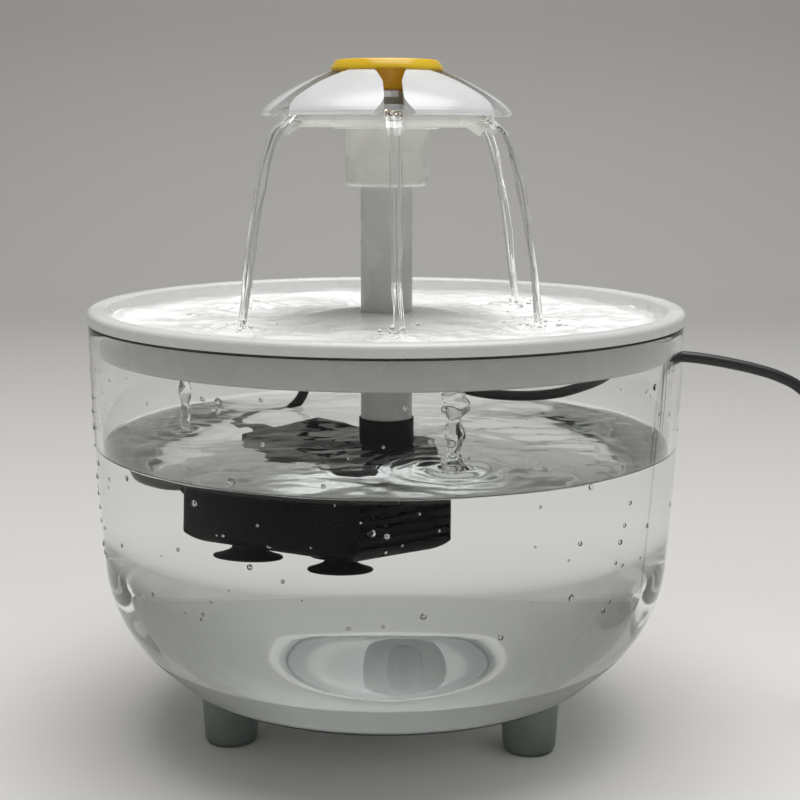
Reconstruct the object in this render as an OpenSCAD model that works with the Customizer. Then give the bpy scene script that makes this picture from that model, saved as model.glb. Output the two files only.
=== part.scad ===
// Pet water fountain: a clear tank on three legs, a drinking tray that is its lid, and a small
// submersible pump that lifts water through a tube to a flower of six pouring petals.
// Millimetres. The origin is on the floor under the middle of the tank, +Z is up.

/* [Fits] */
// Gap on the radius where one piece slides off another
slide_fit = 0.05; // [0.02:0.01:0.1]
// Gap on the radius where a piece drops in loosely
drop_fit = 0.3; // [0.2:0.05:0.5]

/* [Tank] */
// Outer radius of the tank at its rim
tank_r = 82.2; // [78:0.2:90]
// How much narrower the tank is at its round lower corner than at its rim
tank_taper = 2.7; // [1.4:0.1:4]
// Height of the tank from its underside to its rim
tank_h = 100.3; // [93:0.1:118]
// Thickness of the clear wall
tank_wall = 2.2; // [1.6:0.1:3]
// Outer radius of the round lower corner
tank_corner_r = 39; // [34:1:40]
// Height of that corner's middle above the underside
tank_corner_h = 35.3; // [34:0.1:38]
// Slope of the straight stretch below the corner
tank_slope = 43; // [42:1:50]
// Rounding of the edge of the flat underside
tank_edge_r = 4; // [3.6:0.1:6]
// Rounding of the rim's edges
tank_rim_round = 0.7; // [0.3:0.1:0.8]
// Width of the slot in the rim that the lead leaves by
notch_w = 5; // [4.4:0.2:7]
// Depth of that slot below the rim
notch_depth = 13; // [12:0.5:16]

/* [Legs] */
// Height of the tank's underside above the floor
leg_h = 16.7; // [14:0.1:20]
// Distance of each leg from the middle
leg_circle_r = 48; // [42:1:52]
// Diameter of a leg at the floor
leg_foot_d = 14.6; // [12:0.2:18]
// Diameter of a leg at its top
leg_top_d = 16.5; // [13:0.5:20]
// Rounding of a leg's foot
leg_round = 2; // [1:0.2:3]
// Diameter of the clear boss that each leg plugs onto
boss_d = 7; // [5:0.5:8]
// Length of that boss below the tank's underside
boss_h = 5; // [3:0.5:6]

/* [Tray] */
// Overhang of the tray's rim beyond the tank
tray_lip = 0.3; // [0:0.1:2]
// Thickness of the tray's rim
tray_rim_h = 3.3; // [2.4:0.1:5]
// Thickness of the tray's walls
tray_wall = 1.8; // [1.2:0.1:2.4]
// Depth of the tray's gutter below the tank's rim
tray_sink = 6.7; // [5:0.1:9]
// Gap between the tray's sunk wall and the tank
tray_gap = 0.6; // [0.4:0.1:1.2]
// Lean of the tray's inner wall over its height
tray_lean = 1.6; // [1:0.1:3]
// Width of the flat gutter
gutter_w = 10.5; // [8:0.5:16]
// Height of the tray's dome over the gutter
dome_h = 8; // [5:0.5:9]
// Width of a drain slot
drain_w = 3.5; // [2.5:0.1:3.8]
// Distance of a drain slot's inner end from the middle
drain_r = 47; // [40:1:52]
// Length of a drain slot
drain_len = 15; // [10:1:18]
// Thickness of the sleeve that grips the tube
hub_wall = 2; // [1.5:0.1:3]

/* [Riser tube] */
// Outer diameter of the tube
tube_d = 14.5; // [13:0.1:16]
// Bore of the tube
tube_bore = 11.5; // [9.6:0.1:11.8]
// Length of the tube
tube_len = 78.1; // [75:0.5:80]
// Height of the tube's top above the tank's rim
tube_rise = 49.3; // [46:0.5:60]

/* [Flower] */
// Outer diameter of the collar
collar_d = 23.1; // [22:0.1:26]
// Height of the collar below its flange
collar_h = 15.5; // [14.5:0.1:18]
// Depth of tube that the collar grips
collar_grip = 13.3; // [8:0.1:13.4]
// Thickness of the collar's skin and sleeve
collar_wall = 1.5; // [1:0.1:1.6]
// Diameter of the collar's flange
flange_d = 29.5; // [28:0.5:32]
// Thickness of the flange
flange_h = 3.2; // [2:0.1:4]
// Outer radius of the saucer
saucer_r = 29.5; // [28:0.5:31]
// Height of the saucer from its underside to its rim
saucer_h = 5.2; // [5:0.1:6.5]
// Depth of the saucer's floor over the flange
saucer_web = 1.7; // [1.2:0.1:2.2]
// Width of a pouring lip
lip_w = 5; // [3:0.2:6]
// Reach of a pouring lip beyond the saucer
lip_reach = 2.6; // [1:0.1:3.5]
// Outer radius of the petals
petal_r = 34.4; // [33:0.2:38]
// Height of the petals from tip to crown
petal_h = 11.5; // [9.5:0.1:13]
// Thickness of a petal
petal_wall = 1.7; // [1.2:0.1:2]
// Width of the gap between two petals at their tips
petal_gap = 5; // [3:0.2:6]
// Rounding of a petal's corners
petal_round = 5; // [3:0.2:6]
// Height of the crown above the saucer's ledge
crown_h = 10.6; // [10:0.1:13]
// Outer radius of the heart's ring
heart_r = 15.5; // [15:0.1:17]
// Thickness of the heart's ring
heart_ring_h = 3; // [2:0.1:4]
// Depth of the heart below the crown
heart_depth = 5; // [3.5:0.1:6]
// Wall of the heart
heart_wall = 1.5; // [1:0.1:2]

/* [Pump] */
// Turn of the pump about the tube
pump_yaw = 49; // [0:1:90]
// Width of the pump
pump_w = 33; // [32:0.5:38]
// Height of the pump's body
pump_h = 25; // [25:0.5:30]
// Rounding of the pump's upright edges
pump_round = 3; // [2:0.2:4]
// Rounding of its long edges, seen from the end
pump_edge_round = 6; // [5:0.2:6.4]
// Rounding of its ends, seen from the side
pump_end_round = 6.2; // [5:0.2:6.4]
// Length of the intake cover
cover_l = 4.5; // [4:0.1:6]
// Length of the head that holds the impeller
head_l = 11.5; // [11:0.1:14]
// Length of the housing that holds the motor
housing_l = 25.5; // [24:0.5:28]
// Length of the rear cover
rear_l = 7; // [6.5:0.1:8]
// Wall of the pump's shells
shell_wall = 1.8; // [1.4:0.1:2]
// Distance of the outlet from the rotor's axis, to the side
outlet_side = 6.5; // [5.5:0.1:7]
// Diameter of the shoulder that the tube stands on
shoulder_d = 15.5; // [15:0.1:18]
// Height of that shoulder
shoulder_h = 7.2; // [4:0.1:9]
// Length of the nozzle inside the tube
nozzle_l = 9.8; // [6:0.2:12]
// Wall of the nozzle
nozzle_wall = 1.45; // [1:0.05:1.6]
// Height of an intake slot
slot_h = 1.3; // [0.8:0.1:1.6]
// Pitch of the intake slots
slot_pitch = 2.6; // [2.2:0.1:3.2]

/* [Rotor and motor] */
// Radius of the chamber that the impeller turns in
chamber_r = 10.3; // [9.8:0.1:10.4]
// Radius of the impeller
impeller_r = 8.6; // [7:0.1:9]
// Number of impeller blades
blade_count = 6; // [4:1:8]
// Thickness of a blade
blade_t = 1; // [0.8:0.1:1.4]
// Radius of the rotor's magnet
magnet_r = 6.2; // [5.5:0.1:6.3]
// Length of the magnet
magnet_l = 12.5; // [9:0.5:13]
// Radial gap between the magnet and its well
rotor_gap = 0.5; // [0.3:0.05:0.6]
// Diameter of the ceramic shaft
shaft_d = 2; // [1.5:0.1:2.4]
// Thickness of the stator's plates as a stack
stack_h = 12; // [8:0.5:12.5]

/* [Suction cups] */
// Diameter of a suction cup
cup_d = 14.4; // [12:0.2:15]
// Height of a cup below the pump
cup_h = 3.6; // [3:0.2:6]
// Diameter of a cup's neck
cup_neck_d = 6.6; // [5:0.2:8]

/* [Lead and plug] */
// Diameter of the lead
cord_d = 3.2; // [2.6:0.1:3.2]
// Length of the gland that the lead leaves the pump by
gland_l = 10; // [6:0.5:12]
// Length of the plug's grip
grip_l = 22; // [18:1:26]
// Length of the plug's bare shell
plug_shell_l = 12; // [10:0.5:12.5]

/* [Hidden] */
$fn = 96;
eps = 0.01;

// ---- heights, from the floor up ----
rim_z = leg_h + tank_h;
gutter_z = rim_z - tray_sink;
tray_base_z = gutter_z - tray_wall;
tray_top_z = rim_z + tray_rim_h;
dome_z = gutter_z + dome_h;
tube_top_z = rim_z + tube_rise;
tube_base_z = tube_top_z - tube_len;
pump_top_z = tube_base_z - shoulder_h;
pump_base_z = pump_top_z - pump_h;
collar_z = tube_top_z - collar_grip;
flange_z = collar_z + collar_h;
flange_top_z = flange_z + flange_h;
flange_proud = 0.5;
saucer_z = flange_z + flange_proud;
ledge_z = flange_top_z + saucer_web;
crown_z = ledge_z + crown_h;

// ---- the tank's wall ----
corner_mid = [tank_r - tank_taper - tank_corner_r, leg_h + tank_corner_h];
corner_end = tank_slope - 90;
wall_lean = atan(PI / 2 * tank_taper / (tank_h - tank_corner_h));
corner_top = corner_mid + tank_corner_r * [cos(wall_lean), -sin(wall_lean)];
edge_in = (tank_corner_r - tank_edge_r + sin(corner_end) * (tank_corner_h - tank_edge_r)) / cos(corner_end);
edge_mid = [corner_mid[0] + edge_in, leg_h + tank_edge_r];
leg_angles = [206, 326, 86];

leg_cup_h = 3;
socket_gap = drop_fit;

// ---- the tray ----
gutter_round = 2;
basin_round = 1.2;
tray_edge_round = 1.5;
skirt_round = 1;
tray_r = tank_r + tray_lip;
skirt_r = tank_r - tank_wall - tray_gap;
basin_r = skirt_r - tray_wall;
gutter_r = basin_r - tray_lean;
dome_r = gutter_r - gutter_w;
hub_bore_r = tube_d / 2 + slide_fit;
drain_angles = [172.5, 292.5, 52.5];
drain_deep = dome_h + 2 * tray_wall;
dome_steps = 14;

// ---- the flower ----
petal_count = 6;
petal_turn = 34;
notch_angles = [for (i = [0 : petal_count - 1]) petal_turn + i * 360 / petal_count];
flange_round = 0.8;
collar_round = 1.2;
rib_t = 1;
rib_foot = 2;
rib_root = 0.2;
socket_r = flange_d / 2 + drop_fit;
saucer_wall = 1.6;
saucer_floor_h = 2;
saucer_turn = 5;
lip_t = 1;
lip_root = 2.5;
lip_drop = 2.2;
lip_point_w = 1.4;
hub_r = 8.5;
hub_h = 3.6;
petal_shoulder = 6.5;
petal_dip = 2.2;
petal_tuck = 1.2;
petal_turn_h = 3.5;
petal_foot = 0.5;
notch_mid_r = 23;
notch_flare = 1.6;
post_in = 2;
post_t = 1.6;
sill_h = 1.6;
post_r = heart_r - post_in;
post_out_r = post_r + post_t;
heart_taper = 1.6;
heart_dish = 0.8;
heart_edge = 0.6;

// ---- the pump: X across, Y from the intake to the rear, Z up from its underside ----
pump_l = cover_l + head_l + housing_l + rear_l;
head_y = cover_l;
housing_y = head_y + head_l;
rear_y = housing_y + housing_l;
rotor_x = pump_w / 2;
rotor_z = pump_h / 2;
outlet_x = rotor_x + outlet_side;
chamber_y = head_y + shell_wall;
outlet_y = (chamber_y + housing_y) / 2;
nozzle_r = tube_bore / 2 - slide_fit;
nozzle_bore_r = nozzle_r - nozzle_wall;
cover_edge = 1.4;
slot_inset = 2;
slot_margin = 4.5;
slot_count = floor((pump_h - 2 * slot_margin) / slot_pitch) + 1;
shaft_r = shaft_d / 2;
bush_r = 2.2;
bush_l = 1.6;
bush_y = head_y + 0.4;
eye_r = 5.4;
eye_ring = 1;
spoke_w = 1.2;
spoke_angles = [0, 120, 240];
cavity_floor = 2.6;

// ---- the rotor and the motor, along the same Y ----
disc_t = 1.2;
stem_r = 3;
blade_y = chamber_y + 1.6;
disc_y = housing_y - disc_t - 1.2;
magnet_y = housing_y + 1.4;
well_r = magnet_r + rotor_gap;
well_wall = 1.2;
well_out_r = well_r + well_wall;
well_end_y = magnet_y + magnet_l + 1.1;
well_floor = 2.6;
core_gap = 1.4;
core_w = pump_w - 2 * (shell_wall + core_gap);
core_y = housing_y + 4;
pole_w = 6;
yoke_t = 4;
yoke_y = well_end_y + well_floor + 3;
coil_lap = 2.4;
coil_gap = 0.15;
coil_round = 1.6;
coil_l = core_w - 2 * (pole_w + 0.4);
board_inset = 6.5;
board_l = 15;
board_t = 1;
chip_h = 0.9;

// ---- the suction cups and the gland ----
cup_stem_h = 1.5;
cup_stem_r = 2.4;
cup_inset = 8.6;
cup_front_y = head_y + 7.1;
cup_rear_y = rear_y - 4.5;
cup_front_xy = [cup_inset, cup_front_y];
cup_rear_xy = [cup_inset, cup_rear_y];
cup_side_xy = [pump_w - cup_inset, (cup_front_y + cup_rear_y) / 2];
cup_lip = 0.2;
cup_dish_h = 1.6;
gland_y = pump_l + gland_l;
gland_neck_r = cord_d / 2 + 0.8;
gland_flange_t = 1.2;
gland_rib_t = 0.9;
gland_rib_pitch = 2;

// ---- routes of the lead and the cord, chosen by hand, their third number the drop under the rim ----
gland_tip = in_world([rotor_x, gland_y, rotor_z]);
gland_out = in_world([rotor_x, gland_y + gland_l / 2, rotor_z]);
lead_split = [-4, 54, 18.5];
lead_exit = [82, 0, 11];
rise_route = concat([gland_tip, gland_out], under_rim([
    [-46.2, 34.2, 47.6], [-45, 39.5, 45.3], [-40.8, 43.6, 42], [-34.5, 46.3, 38],
    [-28, 48, 32.5], [-25, 49, 25.5],
    [-19.5, 50.7, 19], [-11.5, 52.6, 17], lead_split
]));
run_route = under_rim([
    lead_split, [3.5, 55.4, 20], [11.5, 56.5, 24.5], [20, 57, 28.8], [29, 56.5, 31.3],
    [38.5, 54.5, 32], [47, 50.5, 31.3], [54.5, 45, 29.4], [60.5, 38.5, 26.4], [65, 31, 23],
    [67.5, 23, 19.2], [69, 15, 15.8], [71.5, 8, 13], [75, 2.5, 11.4], [79, 0, 11], lead_exit
]);
cord_route = concat(
    under_rim([
        lead_exit, [90, 0, 11], [98, 0, 12], [106.5, 0, 14.5], [114.5, 0, 18.5], [120.5, 0, 25],
        [124, 0, 33.5], [125.8, 0, 42.5], [126.4, 0, 52], [126.6, 0, 61.5], [126.7, 0, 71],
        [126.8, 0, 80.5]
    ]),
    [[127, 0, 27], [127.8, 0, 17.5], [130.8, 0, 9], [136.5, 0, 3.6], [144, 0, 1.6], [148.5, 0, 1.6]]
);
coil_mid = [148.5, -24.7];
coil_in_r = 8.3;
coil_out_r = 26.3;
coil_h = 6.4;
tie_angle = 200;
tie_w = 6;
tie_t = 0.8;
tie_seat = 0.4;
plug_x = 173.2;
plug_y = -47;
plug_z = 3.8;
tail_route = [
    [plug_x, -31, 4.7], [plug_x, -36, 4.6], [plug_x, -41.5, 4.2], [plug_x, -44.5, 3.8],
    [plug_x, plug_y, plug_z]
];
grip_w = 11;
grip_neck_l = 5;
grip_round = 2;
shell_size = [12, 4.5];
shell_t = 0.35;
tongue_size = [11.2, 1.8];

// ---- curves and sweeps ----
function arc(mid, r, from, to, steps = 8) = [
    for (i = [0 : steps]) let (a = from + (to - from) * i / steps) mid + r * [cos(a), sin(a)]
];
function bezier(a, b, c, d, steps = 12) = [
    for (i = [0 : steps]) let (t = i / steps, u = 1 - t)
        u * u * u * a + 3 * u * u * t * b + 3 * u * t * t * c + t * t * t * d
];
function ease(t) = t * t * (3 - 2 * t);
function reversed(list) = [for (i = [len(list) - 1 : -1 : 0]) list[i]];
function unit(v) = v / norm(v);
function heading(route, i) = unit(route[min(i + 1, len(route) - 1)] - route[max(i - 1, 0)]);
function square_to(v, t) = unit(v - (v * t) * t);
function ring_sides(route, i = 0, done = []) = i == len(route) ? done
    : ring_sides(route, i + 1, concat(done,
        [square_to(i == 0 ? [0, 0, 1] : done[i - 1], heading(route, i))]));
function turned(p, a) = [p[0] * cos(a) - p[1] * sin(a), p[0] * sin(a) + p[1] * cos(a)];
function under_rim(points) = [for (p = points) [p[0], p[1], rim_z - p[2]]];
function in_world(p) = concat(turned([p[0] - outlet_x, p[1] - outlet_y], pump_yaw),
    [p[2] + pump_base_z]);

// A round cord swept along a route, with eight sides.
module swept_cord(route, sides = 8) {
    across = ring_sides(route);
    last = (len(route) - 1) * sides;
    points = [
        for (i = [0 : len(route) - 1]) let (t = heading(route, i), s = across[i], b = cross(t, s))
            for (k = [0 : sides - 1]) let (a = 360 * k / sides)
                route[i] + cord_d / 2 * (cos(a) * s + sin(a) * b)
    ];
    skin = [
        for (i = [0 : len(route) - 2]) for (k = [0 : sides - 1]) let (n = (k + 1) % sides)
            [i * sides + k, (i + 1) * sides + k, (i + 1) * sides + n, i * sides + n]
    ];
    start = [[for (k = [0 : sides - 1]) k]];
    end = [[for (k = [sides - 1 : -1 : 0]) last + k]];
    polyhedron(points, concat(start, skin, end));
}

// A rectangle with round corners, from the origin.
module round_rect(w, h, r) {
    translate([r, 0]) square([w - 2 * r, h]);
    translate([0, r]) square([w, h - 2 * r]);
    for (x = [r, w - r]) for (y = [r, h - r]) translate([x, y]) circle(r);
}

module around(angles) {
    for (a = angles) rotate([0, 0, a]) children();
}

module along_y(y) {
    translate([rotor_x, y, rotor_z]) rotate([-90, 0, 0]) children();
}

module in_pump() {
    translate([0, 0, pump_base_z]) rotate([0, 0, pump_yaw]) translate([-outlet_x, -outlet_y, 0])
        children();
}

// ---- tank and legs ----
function tank_outline(inset) = concat(
    [[0, leg_h + inset]],
    arc(edge_mid, tank_edge_r - inset, -90, corner_end, 5),
    arc(corner_mid, tank_corner_r - inset, corner_end, -wall_lean, 12),
    [for (i = [1 : 10]) let (t = i / 10)
        [corner_top[0] + (tank_r - corner_top[0]) * sin(90 * t) - inset,
         corner_top[1] + (rim_z - tank_rim_round - corner_top[1]) * t]]
);

module tank_body() {
    rotate_extrude(convexity = 4) polygon(concat(
        tank_outline(0),
        arc([tank_r - tank_rim_round, rim_z - tank_rim_round], tank_rim_round, 15, 90, 4),
        arc([tank_r - tank_wall + tank_rim_round, rim_z - tank_rim_round], tank_rim_round, 90, 165, 4),
        reversed(tank_outline(tank_wall))));
}

module tank() color("lightcyan", 0.4) {
    difference() {
        tank_body();
        translate([tank_r / 2, 0, rim_z - notch_depth + notch_w / 2]) {
            rotate([0, 90, 0]) cylinder(d = notch_w, h = tank_r);
            translate([0, -notch_w / 2, 0]) cube([tank_r, notch_w, notch_depth]);
        }
    }
    around(leg_angles) difference() {
        translate([leg_circle_r, 0, leg_h - boss_h]) cylinder(d = boss_d, h = boss_h + tank_wall);
        tank_hollow();
    }
}

// The space inside the tank, as a solid.
module tank_hollow() {
    rotate_extrude() polygon(concat(tank_outline(tank_wall), [[0, rim_z]]));
}

module leg(angle) color("slategray") rotate([0, 0, angle]) difference() {
    translate([leg_circle_r, 0, 0]) rotate_extrude() polygon(concat(
        [[0, 0]],
        arc([leg_foot_d / 2 - leg_round, leg_round], leg_round, -90, 0, 6),
        [[leg_top_d / 2, leg_h + leg_cup_h], [0, leg_h + leg_cup_h]]));
    rotate_extrude() polygon(concat(tank_outline(-slide_fit), [[0, rim_z]]));
    translate([leg_circle_r, 0, leg_h - boss_h - socket_gap])
        cylinder(r = boss_d / 2 + slide_fit, h = boss_h + leg_h);
}

module leg_front_left() leg(leg_angles[0]);
module leg_front_right() leg(leg_angles[1]);
module leg_rear() leg(leg_angles[2]);

// ---- tray and tube ----
function dome_line(drop) = [
    for (i = [0 : dome_steps]) let (t = i / dome_steps)
        [hub_bore_r + hub_wall + (dome_r - hub_bore_r - hub_wall) * t,
         dome_z - dome_h * ease(t) - drop]
];

module tray() color("white") difference() {
    rotate_extrude(convexity = 6) polygon(concat(
        [[hub_bore_r, tray_base_z], [hub_bore_r, dome_z]],
        dome_line(0),
        arc([gutter_r - gutter_round, gutter_z + gutter_round], gutter_round, -90, -10, 5),
        arc([basin_r + basin_round, tray_top_z - basin_round], basin_round, 180, 90, 5),
        arc([tray_r - tray_edge_round, tray_top_z - tray_edge_round], tray_edge_round, 90, 0, 5),
        [[tray_r, rim_z], [skirt_r, rim_z]],
        arc([skirt_r - skirt_round, tray_base_z + skirt_round], skirt_round, 0, -90, 4),
        reversed(dome_line(tray_wall)),
        [[hub_bore_r + hub_wall, tray_base_z]]));
    around(drain_angles) translate([drain_r + drain_w / 2, 0, tray_base_z - 1]) {
        cylinder(d = drain_w, h = drain_deep);
        translate([drain_len - drain_w, 0, 0]) cylinder(d = drain_w, h = drain_deep);
        translate([0, -drain_w / 2, 0]) cube([drain_len - drain_w, drain_w, drain_deep]);
    }
}

module riser_tube() color("whitesmoke") translate([0, 0, tube_base_z]) difference() {
    cylinder(d = tube_d, h = tube_len);
    translate([0, 0, -1]) cylinder(d = tube_bore, h = tube_len + 2);
}

// ---- flower ----
module flower_collar() color("ivory") {
    sleeve_r = tube_d / 2 + slide_fit;
    skin_r = collar_d / 2;
    rotate_extrude(convexity = 6) polygon(concat(
        [[sleeve_r, collar_z], [sleeve_r, tube_top_z], [tube_bore / 2, tube_top_z],
         [tube_bore / 2, flange_top_z], [flange_d / 2, flange_top_z]],
        arc([flange_d / 2 - flange_round, flange_z + flange_round], flange_round, 0, -90, 4),
        [[skin_r, flange_z]],
        arc([skin_r - collar_round, collar_z + collar_round], collar_round, 0, -70, 5),
        [[skin_r - collar_wall, collar_z + collar_round / 2], [skin_r - collar_wall, tube_top_z],
         [sleeve_r + collar_wall, tube_top_z], [sleeve_r + collar_wall, collar_z]]));
    around(notch_angles)
        translate([sleeve_r + collar_wall - rib_root, -rib_t / 2, collar_z + rib_foot])
            cube([skin_r - sleeve_r - 2 * (collar_wall - rib_root), rib_t, collar_grip - rib_foot + eps]);
}

// One pouring lip: its side view and its front view, each drawn out and crossed.
module pouring_lip() {
    tip_z = saucer_z - lip_drop;
    top_z = saucer_z + 3 * lip_t;
    side_z = saucer_z - 0.2 * lip_t;
    out = saucer_r + lip_reach;
    intersection() {
        translate([0, lip_w / 2, 0]) rotate([90, 0, 0]) linear_extrude(lip_w) polygon([
            [saucer_r - lip_root, saucer_z + 1.6 * lip_t],
            [out - 0.8 * lip_t, saucer_z + lip_t],
            [out, saucer_z - 0.4 * lip_t],
            [out - 0.5 * lip_t, tip_z],
            [out - 1.8 * lip_t, saucer_z - 0.8 * lip_t],
            [saucer_r - lip_t, saucer_z + 0.6 * lip_t],
            [saucer_r - lip_root, saucer_z + 0.6 * lip_t]]);
        translate([saucer_r - 2 * lip_root, 0, 0]) rotate([90, 0, 90])
            linear_extrude(lip_reach + 3 * lip_root) polygon([
                [-lip_w / 2, top_z], [-lip_w / 2, side_z], [-lip_point_w / 2, tip_z - eps],
                [lip_point_w / 2, tip_z - eps], [lip_w / 2, side_z], [lip_w / 2, top_z]]);
    }
}

module spout_saucer() color("ivory") {
    floor_r = saucer_r - saucer_wall;
    floor_z = saucer_z + saucer_floor_h;
    rim_round = saucer_wall / 2;
    difference() {
        rotate_extrude(convexity = 6) polygon(concat(
            [[tube_bore / 2, flange_top_z], [tube_bore / 2, ledge_z + hub_h],
             [hub_r, ledge_z + hub_h], [hub_r, ledge_z], [post_out_r + drop_fit, ledge_z],
             [floor_r, floor_z]],
            arc([saucer_r - rim_round, saucer_z + saucer_h - rim_round], rim_round, 180, 0, 6),
            bezier([saucer_r, saucer_z + saucer_turn / 2], [saucer_r, saucer_z + saucer_turn / 5],
                [saucer_r - saucer_turn / 2, saucer_z], [saucer_r - saucer_turn, saucer_z], 5),
            [[socket_r, saucer_z], [socket_r, flange_top_z]]));
        around(notch_angles) translate([floor_r - lip_t, -lip_w / 2, floor_z])
            cube([saucer_wall + 2 * lip_t, lip_w, saucer_h]);
    }
    around(notch_angles) pouring_lip();
}

// Outline of the gap between two petals, seen from above, with the petals' corners rounded.
module petal_notch() {
    half = petal_gap / 2;
    wide = half + notch_flare;
    polygon([[post_out_r - 0.2, -wide], [notch_mid_r, -half], [petal_r + 2, -half],
             [petal_r + 2, half], [notch_mid_r, half], [post_out_r - 0.2, wide]]);
    for (s = [-1, 1]) difference() {
        translate([petal_r - petal_round, s > 0 ? half - eps : -half - petal_round])
            square([petal_round + 2, petal_round + eps]);
        translate([petal_r - petal_round, s * (half + petal_round)]) circle(petal_round);
    }
}

// The petals' section from the crown to the tip, at a depth below their skin.
function petal_line(deep) = bezier(
    [heart_r - deep / 5, crown_z - deep],
    [heart_r + petal_shoulder - deep / 3, crown_z - petal_dip - deep],
    [petal_r - petal_tuck - deep, crown_z - petal_h + petal_turn_h - deep / 2],
    [petal_r - deep, crown_z - petal_h - deep / 5], 14);

module petal_cap() color("white") {
    tip_z = crown_z - petal_h;
    window_w = petal_gap + 2 * notch_flare;
    difference() {
        rotate_extrude(convexity = 6) polygon(concat(
            [[post_r, ledge_z], [post_r, crown_z]],
            petal_line(0),
            [[petal_r - petal_wall / 3, tip_z - petal_foot]],
            reversed(petal_line(petal_wall)),
            [[post_out_r, crown_z - petal_wall - drop_fit], [post_out_r, ledge_z]]));
        around(notch_angles) {
            translate([0, 0, tip_z - petal_foot - 1]) linear_extrude(petal_h + 2 * petal_foot + 2)
                petal_notch();
            translate([post_r - 1, -window_w / 2, ledge_z + sill_h])
                cube([post_t + 2, window_w, crown_h]);
        }
    }
}

module flower_heart() color("gold") {
    plug_r = post_r - drop_fit;
    base_z = crown_z - heart_depth;
    cup_r = plug_r - heart_wall;
    ring_r = heart_ring_h / 2;
    rotate_extrude(convexity = 4) polygon(concat(
        [[0, base_z], [plug_r - heart_taper, base_z], [plug_r, crown_z]],
        arc([heart_r - ring_r, crown_z + ring_r], ring_r, -90, 90, 10),
        arc([cup_r + heart_edge, crown_z + heart_ring_h - heart_edge], heart_edge, 90, 180, 4),
        [[cup_r - heart_taper, base_z + heart_wall], [0, base_z + heart_wall + heart_dish]]));
}

// ---- pump shells ----
// The pump's whole form, or its hollow at an inset: three outlines drawn out and crossed.
module pump_form(inset = 0) {
    w = pump_w - 2 * inset;
    l = pump_l - 2 * inset;
    h = pump_h - 2 * inset;
    edge_r = pump_edge_round - inset;
    translate([inset, inset, inset]) intersection() {
        linear_extrude(h) round_rect(w, l, pump_round - inset);
        translate([0, l, 0]) rotate([90, 0, 0]) linear_extrude(l) round_rect(w, h, edge_r);
        rotate([90, 0, 90]) linear_extrude(w) round_rect(l, h, pump_end_round - inset);
    }
}

module pump_slice(from, to, inset = 0) {
    intersection() {
        pump_form(inset);
        translate([-1, from, -1]) cube([pump_w + 2, to - from, pump_h + 2]);
    }
}

module cup_sockets() {
    for (xy = [cup_front_xy, cup_rear_xy, cup_side_xy]) translate(concat(xy, [-1]))
        cylinder(r = cup_stem_r + slide_fit, h = cup_stem_h + 1.2);
}

module intake_cover() color("#1d1f22") in_pump() difference() {
    slot_z = rotor_z - (slot_count - 1) / 2 * slot_pitch - slot_h / 2;
    pump_slice(0, cover_l);
    pump_slice(shell_wall, cover_l + 1, cover_edge);
    for (i = [0 : slot_count - 1]) translate([slot_inset, -1, slot_z + i * slot_pitch])
        cube([pump_w - 2 * slot_inset, shell_wall + 2, slot_h]);
}

module pump_head() color("#1d1f22") in_pump() difference() {
    union() {
        pump_slice(head_y, housing_y);
        translate([outlet_x, outlet_y, pump_h]) {
            cylinder(d = shoulder_d, h = shoulder_h);
            cylinder(r = nozzle_r, h = shoulder_h + nozzle_l);
        }
    }
    along_y(chamber_y) cylinder(r = chamber_r, h = head_l);
    translate([outlet_x, outlet_y, rotor_z])
        cylinder(r = nozzle_bore_r, h = pump_h + shoulder_h + nozzle_l);
    along_y(head_y - 1) difference() {
        cylinder(r = eye_r, h = shell_wall + 2);
        cylinder(r = bush_r + eye_ring, h = shell_wall + 2);
        around(spoke_angles) translate([0, -spoke_w / 2, 0])
            cube([eye_r + 1, spoke_w, shell_wall + 2]);
    }
    along_y(bush_y) cylinder(r = bush_r + slide_fit, h = head_l);
    cup_sockets();
}

module pump_housing() color("#1d1f22") in_pump() difference() {
    union() {
        difference() {
            pump_slice(housing_y, rear_y);
            translate([shell_wall, rear_y + 1, cavity_floor]) rotate([90, 0, 0])
                linear_extrude(housing_l + 1 - shell_wall)
                    round_rect(pump_w - 2 * shell_wall, pump_h - cavity_floor - shell_wall,
                        pump_edge_round - shell_wall);
        }
        along_y(housing_y + 1) cylinder(r = well_out_r, h = well_end_y + well_floor - housing_y - 1);
    }
    along_y(housing_y - 1) cylinder(r = well_r, h = well_end_y - housing_y + 1);
    along_y(well_end_y - 1) cylinder(r = bush_r + slide_fit, h = bush_l + 1 + slide_fit);
    cup_sockets();
}

module pump_rear_cover() color("#1d1f22") in_pump() difference() {
    pump_slice(rear_y, pump_l);
    pump_slice(rear_y - 1, pump_l - shell_wall, shell_wall);
    along_y(rear_y) cylinder(r = gland_neck_r + slide_fit, h = rear_l + 1);
}

// ---- rotor and motor ----
module impeller() color("dimgray") in_pump() difference() {
    blade_root_r = stem_r - 1;
    blade_tip_r = impeller_r - 0.2;
    union() {
        along_y(disc_y) cylinder(r = impeller_r, h = disc_t);
        along_y(blade_y) {
            cylinder(r = stem_r, h = magnet_y + magnet_l - blade_y);
            around([for (i = [0 : blade_count - 1]) i * 360 / blade_count])
                translate([blade_root_r, -blade_t / 2, 0])
                    cube([blade_tip_r - blade_root_r, blade_t, disc_y - blade_y + disc_t / 2]);
        }
    }
    along_y(0) cylinder(r = shaft_r + slide_fit, h = pump_l);
}

module rotor_magnet() color("#3a3230") in_pump() along_y(magnet_y) difference() {
    cylinder(r = magnet_r, h = magnet_l);
    translate([0, 0, -1]) cylinder(r = stem_r + slide_fit, h = magnet_l + 2);
}

module rotor_shaft() color("whitesmoke") in_pump()
    along_y(bush_y + 0.5) cylinder(r = shaft_r, h = well_end_y + bush_l - bush_y - 0.9);

module shaft_bush() difference() {
    cylinder(r = bush_r, h = bush_l);
    translate([0, 0, -1]) cylinder(r = shaft_r + slide_fit / 2, h = bush_l + 2);
}

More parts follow.
